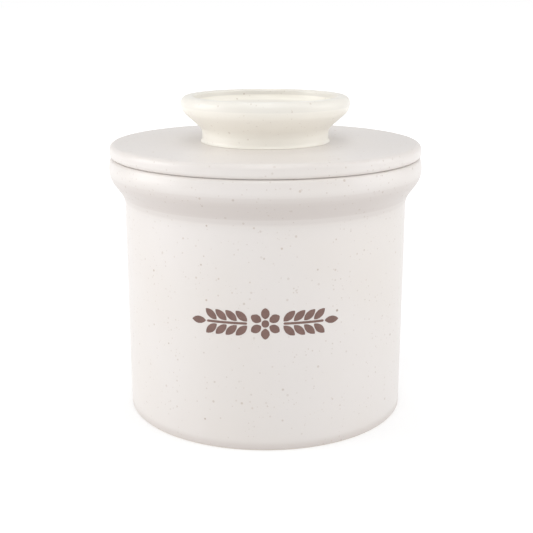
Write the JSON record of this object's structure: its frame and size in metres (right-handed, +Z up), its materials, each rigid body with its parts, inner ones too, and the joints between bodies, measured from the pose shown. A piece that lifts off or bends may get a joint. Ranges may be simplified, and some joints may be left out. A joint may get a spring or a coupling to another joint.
{
  "type": "butter crock",
  "caption": "Two-part stoneware butter keeper: a round water crock with a rolled rim, and a flat lid with a hollow knob above and a butter cup hanging below.",
  "frame": {"origin": "centre of the foot ring, on the surface the crock stands on", "axes": "+Z up along the turning axis, -Y the front with the decal, +X to the right as seen from the front"},
  "size_m": [0.108, 0.108, 0.1096],
  "materials": {
    "speckled_glaze": "satin",
    "brown_decal": "satin"
  },
  "bodies": {
    "crock_body": {"crock": "speckled_glaze", "front_decal": "brown_decal"},
    "lid_body": {"lid_plate": "speckled_glaze", "knob": "speckled_glaze", "bell_cup": "speckled_glaze"}
  },
  "joints": [
    {"name": "lid_lift", "type": "slide", "parent": "crock_body", "child": "lid_body", "axis": [0, 0, 1], "range_m": [0, 0.085]}
  ]
}
